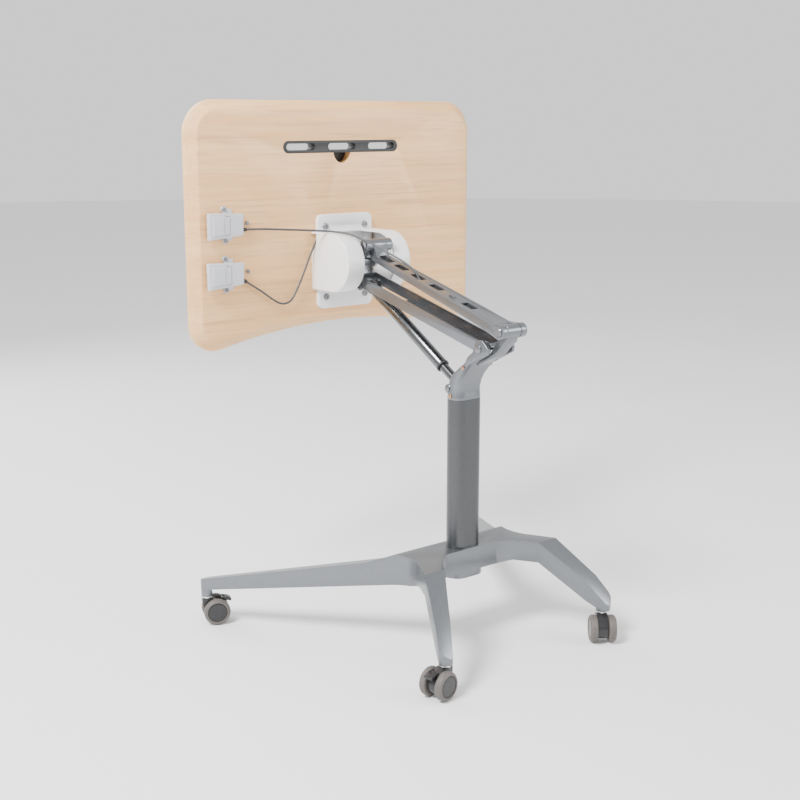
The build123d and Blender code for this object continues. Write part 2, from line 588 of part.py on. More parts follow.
# ---------------------------------------------------------------- tabletop
with BuildPart() as tabletop:
    with BuildSketch(board_plane(0)) as board_outline:
        with BuildLine():
            ThreePointArc((-BOARD_W / 2, EDGE_END_B), (0, EDGE_MID_B), (BOARD_W / 2, EDGE_END_B))
            Polyline(
                (BOARD_W / 2, EDGE_END_B), (BOARD_W / 2, BOARD_TOP_B), (-BOARD_W / 2, BOARD_TOP_B),
                (-BOARD_W / 2, EDGE_END_B),
            )
        make_face()
        fillet(board_outline.vertices().group_by(Axis.Y)[-1], BACK_CORNER_R)
        fillet(board_outline.vertices().group_by(Axis.Y)[0], FRONT_CORNER_R)
    extrude(amount=BOARD_T)
    underside = tabletop.faces().sort_by(Axis.Y)[-1]
    chamfer(underside.outer_wire().edges(), BEVEL_WIDE, BEVEL_DEEP, reference=underside)
    with BuildSketch(board_plane(1)):
        with Locations((0, SLOT_B)):
            SlotOverall(SLOT_L, SLOT_H)
        with Locations((0, NOTCH_B)):
            Circle(NOTCH_R)
    extrude(amount=BOARD_T + 2, mode=Mode.SUBTRACT)
    with BuildSketch(board_plane(0)):
        with GridLocations(SCREW_DX, SCREW_DB, 2, 2):
            Circle(SCREW_R)
    extrude(amount=SCREW_DEEP - PLATE_T, mode=Mode.SUBTRACT)
save(tabletop, "tabletop")

with BuildPart() as slot_insert:
    with BuildSketch(board_plane(0)):
        with Locations((0, SLOT_B)):
            SlotOverall(SLOT_L - 2 * INSERT_GAP, SLOT_H - 2 * INSERT_GAP)
        with Locations((0, SLOT_B)):
            with GridLocations(WINDOW_PITCH, 1, 3, 1):
                SlotOverall(WINDOW_L, WINDOW_H, mode=Mode.SUBTRACT)
    extrude(amount=BOARD_T)
    with BuildSketch(board_plane(LIP_T - BOARD_T)):
        with Locations((0, NOTCH_B)):
            Circle(NOTCH_R - INSERT_GAP)
        with Locations((0, SLOT_B)):
            Rectangle(WINDOW_L, WINDOW_H, mode=Mode.SUBTRACT)
            with Locations((0, WINDOW_H / 2 + NOTCH_R)):
                Rectangle(4 * NOTCH_R, 2 * NOTCH_R, mode=Mode.SUBTRACT)
    extrude(amount=LIP_T)
save(slot_insert, "slot_insert")

with BuildPart() as mount_plate:
    with BuildSketch(board_plane(PLATE_T)):
        RectangleRounded(PLATE_W, PLATE_H, PLATE_R)
        with GridLocations(SCREW_DX, SCREW_DB, 2, 2):
            Circle(SCREW_R, mode=Mode.SUBTRACT)
    extrude(amount=PLATE_T)
    fillet(mount_plate.faces().sort_by(Axis.Y)[-1].outer_wire().edges(), 1.5)
save(mount_plate, "mount_plate")

with BuildPart() as plate_screws:
    with BuildSketch(board_plane(PLATE_T)):
        with GridLocations(SCREW_DX, SCREW_DB, 2, 2):
            Circle(SCREW_R)
    extrude(amount=SCREW_DEEP)
    with BuildSketch(board_plane(PLATE_T + SCREW_HEAD_T)):
        with GridLocations(SCREW_DX, SCREW_DB, 2, 2):
            Circle(SCREW_HEAD_R)
    extrude(amount=SCREW_HEAD_T)
    fillet(plate_screws.faces().sort_by(Axis.Y)[-4:].edges(), 1.4)
    with BuildSketch(board_plane(PLATE_T + SCREW_HEAD_T)):
        with GridLocations(SCREW_DX, SCREW_DB, 2, 2):
            RegularPolygon(DRIVE_R, 6)
    extrude(amount=DRIVE_DEEP, mode=Mode.SUBTRACT)
save(plate_screws, "plate_screws")

# ---------------------------------------------------------------- levers
LEVER_SOFT, HINGE_PIN_R, PADDLE_STEP, PANEL_INSET = 2.0, 1.5, 1.5, 7.0


def lever_edge(low_corner, high_corner, x):
    """b on the straight edge from a base corner to a paddle corner, at x."""
    (x0, b0), (x1, b1) = low_corner, high_corner
    return b0 + (b1 - b0) * (x - x0) / (x1 - x0)


for name, base_corners, paddle_corners, tabs, extra in LEVERS:
    tops = (base_corners[0], paddle_corners[0])
    lows = (base_corners[1], paddle_corners[1])
    ear_x = LEVER_PIVOT_X + 4.5
    paddle_x = LEVER_SEAM + LEVER_GAP
    with BuildPart() as lever_base:
        with BuildSketch(board_plane(LEVER_T)):
            with BuildLine():
                Polyline(
                    base_corners[0], (LEVER_SEAM, lever_edge(*tops, LEVER_SEAM)),
                    (LEVER_SEAM, lever_edge(*lows, LEVER_SEAM)), base_corners[1], close=True,
                )
            make_face()
        extrude(amount=LEVER_T)
        fillet(lever_base.faces().sort_by(Axis.Y)[-1].edges(), LEVER_SOFT)
        with BuildSketch(board_plane(FLANGE_T)):
            with BuildLine():
                Polyline(
                    (LEVER_SEAM - 10, tabs[0][1]), tabs[0], (tabs[0][0] + 4, lever_edge(*tops, 285) - 6),
                    (tabs[1][0] + 6, lever_edge(*lows, 285) + 6), tabs[1], (LEVER_SEAM - 10, tabs[1][1]), close=True,
                )
            make_face()
            with Locations(*tabs):
                Circle(TAB_R)
        extrude(amount=FLANGE_T)
        for edge, side in ((tops, -1), (lows, 1)):
            with BuildSketch(board_plane(LEVER_PIVOT_N + 4)):
                with BuildLine():
                    b_in, b_out = lever_edge(*edge, LEVER_SEAM - 2), lever_edge(*edge, ear_x)
                    Polyline(
                        (LEVER_SEAM - 2, b_in), (ear_x, b_out), (ear_x, b_out + side * EAR_T),
                        (LEVER_SEAM - 2, b_in + side * EAR_T), close=True,
                    )
                make_face()
            extrude(amount=LEVER_PIVOT_N + 4 - FLANGE_T / 2)
        pin_top, pin_low = lever_edge(*tops, LEVER_PIVOT_X) - 1, lever_edge(*lows, LEVER_PIVOT_X) + 1
        pin_plane = Plane(
            origin=(LEVER_PIVOT_X, UNDERSIDE_Y + LEVER_PIVOT_N, PLATE_Z + pin_low), z_dir=(0, 0, 1)
        )
        with BuildSketch(pin_plane):
            Circle(HINGE_PIN_R)
        extrude(amount=pin_top - pin_low, mode=Mode.SUBTRACT)
    save(lever_base, f"{name}_lever_base")
    with BuildPart() as paddle:
        with BuildSketch(board_plane(PADDLE_HIGH - 2)):
            with BuildLine():
                Polyline(
                    (ear_x + 0.5, lever_edge(*tops, ear_x)), paddle_corners[0], paddle_corners[1],
                    (ear_x + 0.5, lever_edge(*lows, ear_x)), close=True,
                )
            make_face()
            with BuildLine():
                b_top, b_low = lever_edge(*tops, ear_x) - EAR_T - 1, lever_edge(*lows, ear_x) + EAR_T + 1
                Polyline((paddle_x, b_top), (ear_x + 2, b_top), (ear_x + 2, b_low), (paddle_x, b_low), close=True)
            make_face()
        extrude(amount=PADDLE_HIGH - 2 - PADDLE_LOW)
        front_rim = paddle.faces().sort_by(Axis.Y)[-1].edges()
        fillet(front_rim.filter_by(lambda e: e.center().X > ear_x + 1), LEVER_SOFT)
        with BuildSketch(board_plane(PADDLE_HIGH)):
            with BuildLine():
                x_in, x_out = ear_x + 5, paddle_corners[0][0] - PANEL_INSET
                Polyline(
                    (x_in, lever_edge(*tops, x_in) - PANEL_INSET), (x_out, lever_edge(*tops, x_out) - PANEL_INSET),
                    (x_out, lever_edge(*lows, x_out) + PANEL_INSET), (x_in, lever_edge(*lows, x_in) + PANEL_INSET),
                    close=True,
                )
            make_face()
        extrude(amount=2.5)
        fillet(paddle.faces().sort_by(Axis.Y)[-1].edges(), 1.2)
        with BuildSketch(pin_plane):
            Circle(HINGE_PIN_R + RUN_GAP)
        extrude(amount=pin_top - pin_low, mode=Mode.SUBTRACT)
    save(paddle, f"{name}_paddle")

with BuildPart() as lever_pins:
    for name, base_corners, paddle_corners, tabs, extra in LEVERS:
        pin_top = lever_edge(base_corners[0], paddle_corners[0], LEVER_PIVOT_X) - 1
        pin_low = lever_edge(base_corners[1], paddle_corners[1], LEVER_PIVOT_X) + 1
        with BuildSketch(
            Plane(origin=(LEVER_PIVOT_X, UNDERSIDE_Y + LEVER_PIVOT_N, PLATE_Z + pin_low), z_dir=(0, 0, 1))
        ):
            Circle(HINGE_PIN_R)
        extrude(amount=pin_top - pin_low)
save(lever_pins, "lever_pins")

with BuildPart() as lever_screws:
    for name, base_corners, paddle_corners, tabs, extra in LEVERS:
        with BuildSketch(board_plane(FLANGE_T + 2.5)):
            with Locations(*tabs):
                Circle(4)
        extrude(amount=2.5)
        with BuildSketch(board_plane(2.5)):
            with Locations(extra):
                Circle(4)
        extrude(amount=2.5)
    rims = [e for e in lever_screws.edges().filter_by(GeomType.CIRCLE) if e.center().Y > UNDERSIDE_Y + 2.4]
    fillet([e for e in rims if abs(e.center().Y - UNDERSIDE_Y - FLANGE_T) > 0.1], 1.1)
save(lever_screws, "lever_screws")


# ---------------------------------------------------------------- cables
def cable_points(route):
    """Row-frame points of a cable given as (X, n, Z)."""
    return [Vector(x, UNDERSIDE_Y + n, z) for x, n, z in route]


def bend_radii(points):
    """One fillet radius per inner point: 0.45 of the shorter run over tan of half the turn."""
    radii = []
    for before, here, after in zip(points, points[1:], points[2:]):
        run_in, run_out = here - before, after - here
        half_turn = radians(run_in.get_angle(run_out)) / 2
        radii.append(0.45 * min(run_in.length, run_out.length) / tan(half_turn))
    return radii


for name, route in (("lift_cable", LIFT_CABLE), ("tilt_cable", TILT_CABLE)):
    points = cable_points(route)
    radii = bend_radii(points)
    with BuildPart() as cable:
        with BuildLine() as path:
            FilletPolyline(*points, radius=radii)
        with BuildSketch(path.line ^ 0):
            Circle(CABLE_R)
        sweep()
    save(cable, name)
    print(name, "radii", [round(r) for r in radii])
    print("length", round(sum(e.length for e in path.edges()), 1))
    print("volume over section", round(cable.part.volume / (pi * CABLE_R**2), 1))

FERRULE_R, FERRULE_L = 3.5, 7.0
with BuildPart() as cable_ferrules:
    for route in (LIFT_CABLE, TILT_CABLE):
        start, after = cable_points(route)[:2]
        with BuildSketch(Plane(origin=start, z_dir=after - start)):
            Circle(FERRULE_R)
            Circle(CABLE_R, mode=Mode.SUBTRACT)
        extrude(amount=FERRULE_L)
save(cable_ferrules, "cable_ferrules")

# ---------------------------------------------------------------- gas spring
gas_dir = (0, GAS_DY / GAS_L, GAS_DZ / GAS_L)


def gas_section(at):
    """Plane across the gas spring at a distance from its lower pin."""
    foot = Plane(origin=(0, COL_Y + GAS_FOOT[0], GAS_FOOT[1]), x_dir=(1, 0, 0), z_dir=gas_dir)
    return foot.offset(at)


with BuildPart() as gas_cylinder:
    with BuildSketch(gas_section(0)):
        Circle(CYL_R)
    extrude(amount=CYL_END)
    fillet(gas_cylinder.faces().sort_by(Axis((0, 0, 0), gas_dir))[-1].edges(), 1.5)
    with BuildSketch(side_at(GAS_FOOT)):
        Circle(CYL_R)
    extrude(amount=CYL_R + 0.5, both=True)
    with BuildSketch(gas_section(16)):
        Circle(CYL_BORE_R)
    extrude(amount=CYL_END - 16 - 7, mode=Mode.SUBTRACT)
    with BuildSketch(gas_section(CYL_END - 8)):
        Circle(ROD_R + RUN_GAP)
    extrude(amount=10, mode=Mode.SUBTRACT)
    with BuildSketch(side_at(GAS_FOOT)):
        Circle(GAS_PIN_R + RUN_GAP)
    extrude(amount=CYL_R + 1, both=True, mode=Mode.SUBTRACT)
save(gas_cylinder, "gas_cylinder")

with BuildPart() as gas_rod:
    with BuildSketch(gas_section(PISTON_AT)):
        Circle(ROD_R)
    extrude(amount=RELEASE_AT + 6 - PISTON_AT)
    with BuildSketch(gas_section(PISTON_AT)):
        Circle(PISTON_R)
    extrude(amount=PISTON_T)
save(gas_rod, "gas_rod")

with BuildPart() as gas_sleeve:
    with BuildSketch(gas_section(RING_AT + RING_T)):
        Circle(SLEEVE_R)
        Circle(SLEEVE_IN_R, mode=Mode.SUBTRACT)
    extrude(amount=RELEASE_AT - RING_AT - RING_T)
save(gas_sleeve, "gas_sleeve")

with BuildPart() as sleeve_ring:
    with BuildSketch(gas_section(RING_AT)):
        Circle(RING_R)
        Circle(CYL_R + RUN_GAP, mode=Mode.SUBTRACT)
    extrude(amount=RING_T)
save(sleeve_ring, "sleeve_ring")

with BuildPart() as gas_release_head:
    with BuildSketch(gas_section(RELEASE_AT)):
        Circle(SLEEVE_R)
    extrude(amount=6)
    with BuildSketch(gas_section(RELEASE_AT + 3)):
        Rectangle(2 * RELEASE_HALF, 2 * RELEASE_R)
    extrude(amount=GAS_L - RELEASE_AT - 3)
    with BuildSketch(side_at(GAS_HEAD)):
        Circle(RELEASE_R)
    extrude(amount=RELEASE_HALF, both=True)
    with BuildSketch(gas_section(RELEASE_AT)):
        Circle(ROD_R)
    extrude(amount=6, mode=Mode.SUBTRACT)
save(gas_release_head, "gas_release_head")

# ---------------------------------------------------------------- casters
WHEEL_SOFT, DISC_R, DISC_SUNK, TREAD_WIDE_R = 4.0, 18.5, 2.5, 20.5
PEDAL_PIVOT, PEDAL_PIN_R, PEDAL_EAR_R, PEDAL_EAR_HALF, PEDAL_HALF = (30.0, 49.0), 1.5, 3.0, 3.0, 9.0
PEDAL = [(26.5, 46.5), (34, 45.8), (46, 43), (47, 47), (40, 51), (30, 52.5), (26.5, 51.5)]
with BuildPart() as caster_stems:
    for tag, x, y, dx, dy in CASTERS:
        with BuildSketch(Plane.XY.offset(STEM_FOOT_Z)):
            with Locations((x, COL_Y + y)):
                Circle(STEM_R)
        extrude(amount=STEM_BOSS_Z + STEM_IN_BOSS - STEM_FOOT_Z)
        with BuildSketch(Plane.XY.offset(RING_Z)):
            with Locations((x, COL_Y + y)):
                Circle(STEM_BOSS_R)
        extrude(amount=STEM_BOSS_Z - RING_Z)
save(caster_stems, "caster_stems")

for tag, x, y, dx, dy in CASTERS:
    trail_side = Plane(origin=(x, COL_Y + y, 0), x_dir=(dx, dy, 0), z_dir=(dy, -dx, 0))
    with BuildPart() as caster_body:
        with BuildSketch(trail_side):
            with Locations((TRAIL, WHEEL_R)):
                Circle(CASTER_BODY_R)
            with Locations((0, COLLAR_TOP - 5)):
                Rectangle(2 * CASTER_BODY_HALF, 10)
            make_hull()
        extrude(amount=CASTER_BODY_HALF, both=True)
        with BuildSketch(Plane.XY.offset(RING_Z - 12)):
            with Locations((x, COL_Y + y)):
                Circle(CASTER_BODY_HALF + 0.3)
        extrude(amount=COLLAR_TOP - RING_Z + 12)
        with BuildSketch(Plane.XY.offset(STEM_FOOT_Z - 1)):
            with Locations((x, COL_Y + y)):
                Circle(STEM_R + STEM_GAP)
        extrude(amount=COLLAR_TOP, mode=Mode.SUBTRACT)
        with BuildSketch(trail_side):
            with Locations((TRAIL, WHEEL_R)):
                Circle(AXLE_R)
        extrude(amount=CASTER_BODY_HALF + 1, both=True, mode=Mode.SUBTRACT)
        if tag in BRAKED:
            with BuildSketch(trail_side):
                with Locations(PEDAL_PIVOT):
                    Circle(PEDAL_EAR_R)
                with Locations((PEDAL_PIVOT[0] - 3, PEDAL_PIVOT[1] - 9)):
                    Circle(PEDAL_EAR_R)
                make_hull()
                with Locations(PEDAL_PIVOT):
                    Circle(PEDAL_PIN_R + RUN_GAP, mode=Mode.SUBTRACT)
            extrude(amount=PEDAL_EAR_HALF, both=True)
    save(caster_body, f"caster_{tag}_body")
    with BuildPart() as caster_axle:
        with BuildSketch(trail_side):
            with Locations((TRAIL, WHEEL_R)):
                Circle(AXLE_R)
        extrude(amount=WHEEL_IN + WHEEL_T - DISC_SUNK - 1, both=True)
    save(caster_axle, f"caster_{tag}_axle")
    for side, mark in ((1, "a"), (-1, "b")):
        with BuildPart() as caster_wheel:
            with BuildSketch(trail_side.offset(side * WHEEL_IN)):
                with Locations((TRAIL, WHEEL_R)):
                    Circle(WHEEL_R)
            extrude(amount=side * WHEEL_T)
            fillet(caster_wheel.faces().filter_by(GeomType.PLANE).edges(), WHEEL_SOFT)
            with BuildSketch(trail_side.offset(side * (WHEEL_IN + WHEEL_T))):
                with Locations((TRAIL, WHEEL_R)):
                    Circle(TREAD_WIDE_R)
                    Circle(DISC_R, mode=Mode.SUBTRACT)
            extrude(amount=-side * DISC_SUNK, mode=Mode.SUBTRACT)
            with BuildSketch(trail_side):
                with Locations((TRAIL, WHEEL_R)):
                    Circle(AXLE_R + RUN_GAP)
            extrude(amount=side * (WHEEL_IN + WHEEL_T - DISC_SUNK), mode=Mode.SUBTRACT)
        save(caster_wheel, f"caster_{tag}_wheel_{mark}")
    if tag in BRAKED:
        with BuildPart() as brake:
            with BuildSketch(trail_side):
                with BuildLine():
                    Polyline(*PEDAL, close=True)
                make_face()
            extrude(amount=PEDAL_HALF, both=True)
            with BuildSketch(trail_side):
                with Locations((PEDAL_PIVOT[0] - 1, PEDAL_PIVOT[1])):
                    Rectangle(2 * PEDAL_EAR_R + 4, 4 * PEDAL_EAR_R)
            extrude(amount=PEDAL_EAR_HALF + 0.4, both=True, mode=Mode.SUBTRACT)
            with BuildSketch(trail_side):
                with Locations(PEDAL_PIVOT):
                    Circle(PEDAL_PIN_R)
            extrude(amount=PEDAL_HALF - 1, both=True)
        save(brake, f"brake_{tag}")
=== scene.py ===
"""Looks of a mobile sit-stand laptop desk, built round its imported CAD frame."""

import json
from math import cos, pi, radians, sin

import bmesh
import bpy
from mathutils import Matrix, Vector


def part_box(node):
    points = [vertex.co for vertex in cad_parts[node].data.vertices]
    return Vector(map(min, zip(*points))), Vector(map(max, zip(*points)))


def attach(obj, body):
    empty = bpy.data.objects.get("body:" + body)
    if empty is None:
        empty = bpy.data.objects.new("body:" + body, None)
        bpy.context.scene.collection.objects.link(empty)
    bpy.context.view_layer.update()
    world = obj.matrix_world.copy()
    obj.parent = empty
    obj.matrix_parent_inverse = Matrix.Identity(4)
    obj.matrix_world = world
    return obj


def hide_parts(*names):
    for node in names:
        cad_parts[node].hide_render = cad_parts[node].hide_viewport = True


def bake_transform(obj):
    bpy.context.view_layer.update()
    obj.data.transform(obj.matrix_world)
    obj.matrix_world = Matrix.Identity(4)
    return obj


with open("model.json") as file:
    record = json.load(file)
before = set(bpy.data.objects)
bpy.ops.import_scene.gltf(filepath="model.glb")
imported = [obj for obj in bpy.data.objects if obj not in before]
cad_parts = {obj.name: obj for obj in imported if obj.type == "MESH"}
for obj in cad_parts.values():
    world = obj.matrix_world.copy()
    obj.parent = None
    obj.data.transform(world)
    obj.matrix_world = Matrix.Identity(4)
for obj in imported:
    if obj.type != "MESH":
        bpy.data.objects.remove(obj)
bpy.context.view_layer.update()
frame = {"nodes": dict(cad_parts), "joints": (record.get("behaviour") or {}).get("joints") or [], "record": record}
nodes = frame["nodes"]

# ---------------------------------------------------------------- camera, floor and light
CAM_AT = Vector((1.5838, 1.8355, 0.9752))
CAM_YAW, CAM_PITCH, CAM_LENS = radians(39.255), radians(12.221), 58.5

camera = bpy.data.objects.new("camera", bpy.data.cameras.new("camera"))
bpy.context.collection.objects.link(camera)
looking = Vector((-sin(CAM_YAW) * cos(CAM_PITCH), -cos(CAM_YAW) * cos(CAM_PITCH), -sin(CAM_PITCH)))
camera.location = CAM_AT
camera.rotation_mode = "QUATERNION"
camera.rotation_quaternion = looking.to_track_quat("-Z", "Y")
camera.data.lens = CAM_LENS
camera.data.sensor_width = 36
camera.data.clip_end = 50
bpy.context.scene.camera = camera


def area_light(name, at, aim, size, watts):
    data = bpy.data.lights.new(name, "AREA")
    data.shape, data.size, data.energy = "DISK", size, watts
    lamp = bpy.data.objects.new(name, data)
    bpy.context.collection.objects.link(lamp)
    lamp.location = at
    lamp.rotation_mode = "QUATERNION"
    lamp.rotation_quaternion = (Vector(aim) - Vector(at)).to_track_quat("-Z", "Y")


MIDDLE = (0, 0, 0.6)
area_light("key", (2.4, 0.4, 3.0), MIDDLE, 1.2, 260)
area_light("fill", (-2.2, 2.6, 1.6), MIDDLE, 1.6, 60)
area_light("front", (0.4, -2.8, 1.8), MIDDLE, 2.4, 60)

world = bpy.data.worlds.new("studio")
bpy.context.scene.world = world
world.use_nodes = True
backdrop = world.node_tree.nodes["Background"]
backdrop.inputs["Color"].default_value = (1, 1, 1, 1)
backdrop.inputs["Strength"].default_value = 1.15

FLOOR_RADIUS, FLOOR_Z = 14, -0.0005
floor_mesh = bpy.data.meshes.new("floor")
shape = bmesh.new()
bmesh.ops.create_circle(shape, cap_ends=True, radius=FLOOR_RADIUS, segments=64)
shape.to_mesh(floor_mesh)
shape.free()
floor = bpy.data.objects.new("floor", floor_mesh)
bpy.context.collection.objects.link(floor)
floor.location.z = FLOOR_Z


# ---------------------------------------------------------------- materials
NOISE_DETAIL = 6
DARK_BELOW, LIGHT_ABOVE = 0.35, 0.65
ROUGH_SWING = 0.08
RELIEF_DEPTH = 0.001


def surface(name, light, dark, roughness, metallic=0.0, scale=60.0, bump=0.02, grain=(1, 1, 1), coat=0.0):
    """A procedural surface: colour, roughness and bump follow noise stretched by grain."""
    made = bpy.data.materials.new(name)
    made.use_nodes = True
    tree = made.node_tree
    shader = tree.nodes["Principled BSDF"]
    place = tree.nodes.new("ShaderNodeTexCoord")
    stretch = tree.nodes.new("ShaderNodeMapping")
    stretch.inputs["Scale"].default_value = grain
    noise = tree.nodes.new("ShaderNodeTexNoise")
    noise.inputs["Scale"].default_value = scale
    noise.inputs["Detail"].default_value = NOISE_DETAIL
    ramp = tree.nodes.new("ShaderNodeValToRGB")
    ramp.color_ramp.elements[0].position = DARK_BELOW
    ramp.color_ramp.elements[1].position = LIGHT_ABOVE
    ramp.color_ramp.elements[0].color = (*dark, 1)
    ramp.color_ramp.elements[1].color = (*light, 1)
    gloss = tree.nodes.new("ShaderNodeMapRange")
    gloss.inputs["To Min"].default_value = roughness - ROUGH_SWING / 2
    gloss.inputs["To Max"].default_value = roughness + ROUGH_SWING / 2
    relief = tree.nodes.new("ShaderNodeBump")
    relief.inputs["Strength"].default_value = bump
    relief.inputs["Distance"].default_value = RELIEF_DEPTH
    link = tree.links.new
    link(place.outputs["Object"], stretch.inputs["Vector"])
    link(stretch.outputs["Vector"], noise.inputs["Vector"])
    link(noise.outputs["Fac"], ramp.inputs["Fac"])
    link(noise.outputs["Fac"], gloss.inputs["Value"])
    link(noise.outputs["Fac"], relief.inputs["Height"])
    link(ramp.outputs["Color"], shader.inputs["Base Color"])
    link(gloss.outputs["Result"], shader.inputs["Roughness"])
    link(relief.outputs["Normal"], shader.inputs["Normal"])
    shader.inputs["Metallic"].default_value = metallic
    shader.inputs["Coat Weight"].default_value = coat
    return made


def maple_wood():
    """Light maple: broad bands, fine fibres and short dark flecks, all running along X."""
    made = surface(
        "maple", (0.88, 0.53, 0.235), (0.80, 0.44, 0.175), 0.42, scale=9.0, bump=0.0, grain=(0.35, 1, 5.5),
        coat=0.12,
    )
    tree = made.node_tree
    shader = tree.nodes["Principled BSDF"]
    broad = next(n for n in tree.nodes if n.type == "VALTORGB")
    place = next(n for n in tree.nodes if n.type == "TEX_COORD")
    relief = next(n for n in tree.nodes if n.type == "BUMP")
    link = tree.links.new
    colour = broad.outputs["Color"]
    for scale, stretch, low, high, tint, amount in (
        (70.0, (0.05, 1, 1.6), 0.42, 0.66, (0.60, 0.36, 0.19), 0.34),
        (240.0, (0.035, 1, 1.0), 0.56, 0.70, (0.46, 0.24, 0.11), 0.42),
    ):
        mapping = tree.nodes.new("ShaderNodeMapping")
        mapping.inputs["Scale"].default_value = stretch
        fibre = tree.nodes.new("ShaderNodeTexNoise")
        fibre.inputs["Scale"].default_value = scale
        fibre.inputs["Detail"].default_value = 3
        pick = tree.nodes.new("ShaderNodeMapRange")
        pick.inputs["From Min"].default_value = low
        pick.inputs["From Max"].default_value = high
        pick.inputs["To Max"].default_value = amount
        mix = tree.nodes.new("ShaderNodeMix")
        mix.data_type = "RGBA"
        mix.inputs["B"].default_value = (*tint, 1)
        link(place.outputs["Object"], mapping.inputs["Vector"])
        link(mapping.outputs["Vector"], fibre.inputs["Vector"])
        link(fibre.outputs["Fac"], pick.inputs["Value"])
        link(pick.outputs["Result"], mix.inputs["Factor"])
        link(colour, mix.inputs["A"])
        colour = mix.outputs["Result"]
        link(fibre.outputs["Fac"], relief.inputs["Height"])
    relief.inputs["Strength"].default_value = 0.06
    link(colour, shader.inputs["Base Color"])
    return made


# Name, lighter colour, darker colour, roughness, metallic, noise scale, bump strength.
FINISHES = [
    ("frame_paint", (0.19, 0.20, 0.215), (0.165, 0.175, 0.19), 0.30, 0.8, 420, 0.05),
    ("column_paint", (0.085, 0.088, 0.092), (0.072, 0.075, 0.079), 0.32, 0.75, 500, 0.05),
    ("white_metal", (0.80, 0.80, 0.81), (0.77, 0.77, 0.78), 0.4, 0.0, 300, 0.05),
    ("black_plastic", (0.022, 0.022, 0.024), (0.014, 0.014, 0.015), 0.5, 0.0, 900, 0.12),
    ("cover_plastic", (0.80, 0.795, 0.79), (0.77, 0.765, 0.76), 0.3, 0.0, 160, 0.02),
    ("lever_plastic", (0.52, 0.525, 0.55), (0.49, 0.495, 0.52), 0.42, 0.0, 700, 0.08),
    ("bright_steel", (0.75, 0.75, 0.76), (0.68, 0.68, 0.69), 0.16, 1.0, 300, 0.01),
    ("dark_steel", (0.16, 0.165, 0.17), (0.13, 0.135, 0.14), 0.2, 1.0, 300, 0.01),
    ("zinc_screw", (0.26, 0.265, 0.28), (0.20, 0.205, 0.22), 0.3, 1.0, 900, 0.04),
    ("copper_screw", (0.55, 0.30, 0.18), (0.45, 0.23, 0.13), 0.3, 1.0, 900, 0.04),
    ("bush_plastic", (0.03, 0.03, 0.032), (0.02, 0.02, 0.022), 0.45, 0.0, 900, 0.08),
    ("cable_jacket", (0.055, 0.058, 0.065), (0.042, 0.045, 0.05), 0.45, 0.0, 900, 0.06),
    ("caster_tread", (0.115, 0.10, 0.092), (0.09, 0.08, 0.072), 0.55, 0.0, 500, 0.1),
    ("caster_body", (0.018, 0.018, 0.02), (0.012, 0.012, 0.013), 0.3, 0.0, 600, 0.05),
]
look = {name: surface(name, *finish) for name, *finish in FINISHES}
look["maple"] = maple_wood()
paper = surface("floor_paper", (0.86, 0.86, 0.86), (0.85, 0.85, 0.85), 0.9, scale=3, bump=0.0)
floor.data.materials.append(paper)

slot_of = {part["node"]: part["material_slot"] for part in frame["record"]["subparts"]}
for node, obj in nodes.items():
    for index in range(max(1, len(obj.data.materials))):
        if index < len(obj.data.materials):
            obj.data.materials[index] = look[slot_of[node]]
        else:
            obj.data.materials.append(look[slot_of[node]])


# ---------------------------------------------------------------- making pieces
MM = 0.001
COL_Y, UNDERSIDE_Y = 84.7, -285.3
ALONG_X = Vector((1, 0, 0))
BEVEL_FROM = radians(28)
WELD_CAD, WELD_LATHE = 2e-6, 1e-6


def side_point(y, z, x=0.0):
    """A point in metres from side-view millimetres, with y counted from the column's axis."""
    return Vector((x, COL_Y + y, z)) * MM


def bake(obj):
    """Applies the object's modifiers and returns it."""
    graph = bpy.context.evaluated_depsgraph_get()
    obj.data = bpy.data.meshes.new_from_object(obj.evaluated_get(graph))
    obj.modifiers.clear()
    return obj


def piece(name, shape, slot, body, replaced=(), bevel=0.0, segments=3, sharp=35, cut=None):
    """Turns a bmesh into a shown piece: bevelled, smoothed, painted and riding on its body."""
    mesh = bpy.data.meshes.new(name)
    bmesh.ops.recalc_face_normals(shape, faces=shape.faces)
    shape.to_mesh(mesh)
    shape.free()
    obj = bpy.data.objects.new(name, mesh)
    bpy.context.collection.objects.link(obj)
    mesh.materials.append(look[slot])
    if cut is not None:
        boolean = obj.modifiers.new("cut", "BOOLEAN")
        boolean.object, boolean.solver = cut, "EXACT"
    if bevel:
        soft = obj.modifiers.new("soft", "BEVEL")
        soft.width, soft.segments = bevel * MM, segments
        soft.limit_method, soft.angle_limit = "ANGLE", BEVEL_FROM
        soft.use_clamp_overlap = True
    if obj.modifiers:
        bake(obj)
    if cut is not None:
        bpy.data.objects.remove(cut)
    obj.data.shade_smooth()
    obj.data.set_sharp_from_angle(angle=radians(sharp))
    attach(obj, body)
    if replaced:
        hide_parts(*replaced)
    return obj


def body_of_node(node):
    """The name of the moving body that holds the node."""
    return next(name for name, held in frame["record"]["behaviour"]["bodies"].items() if node in held)


def softened(node, bevel, segments=3, sharp=35, cut=None, simpler=0.6):
    """The node's own shape with its sharp edges rounded, as castings and mouldings have them.

    Faces that meet within simpler degrees are joined first, so that the bevel has room.
    """
    shape = bmesh.new()
    shape.from_mesh(nodes[node].data)
    bmesh.ops.remove_doubles(shape, verts=shape.verts, dist=WELD_CAD)
    bmesh.ops.dissolve_limit(shape, angle_limit=radians(simpler), verts=shape.verts, edges=shape.edges)
    body = body_of_node(node)
    return piece(f"{node}_skin", shape, slot_of[node], body, (node,), bevel, segments, sharp, cut)


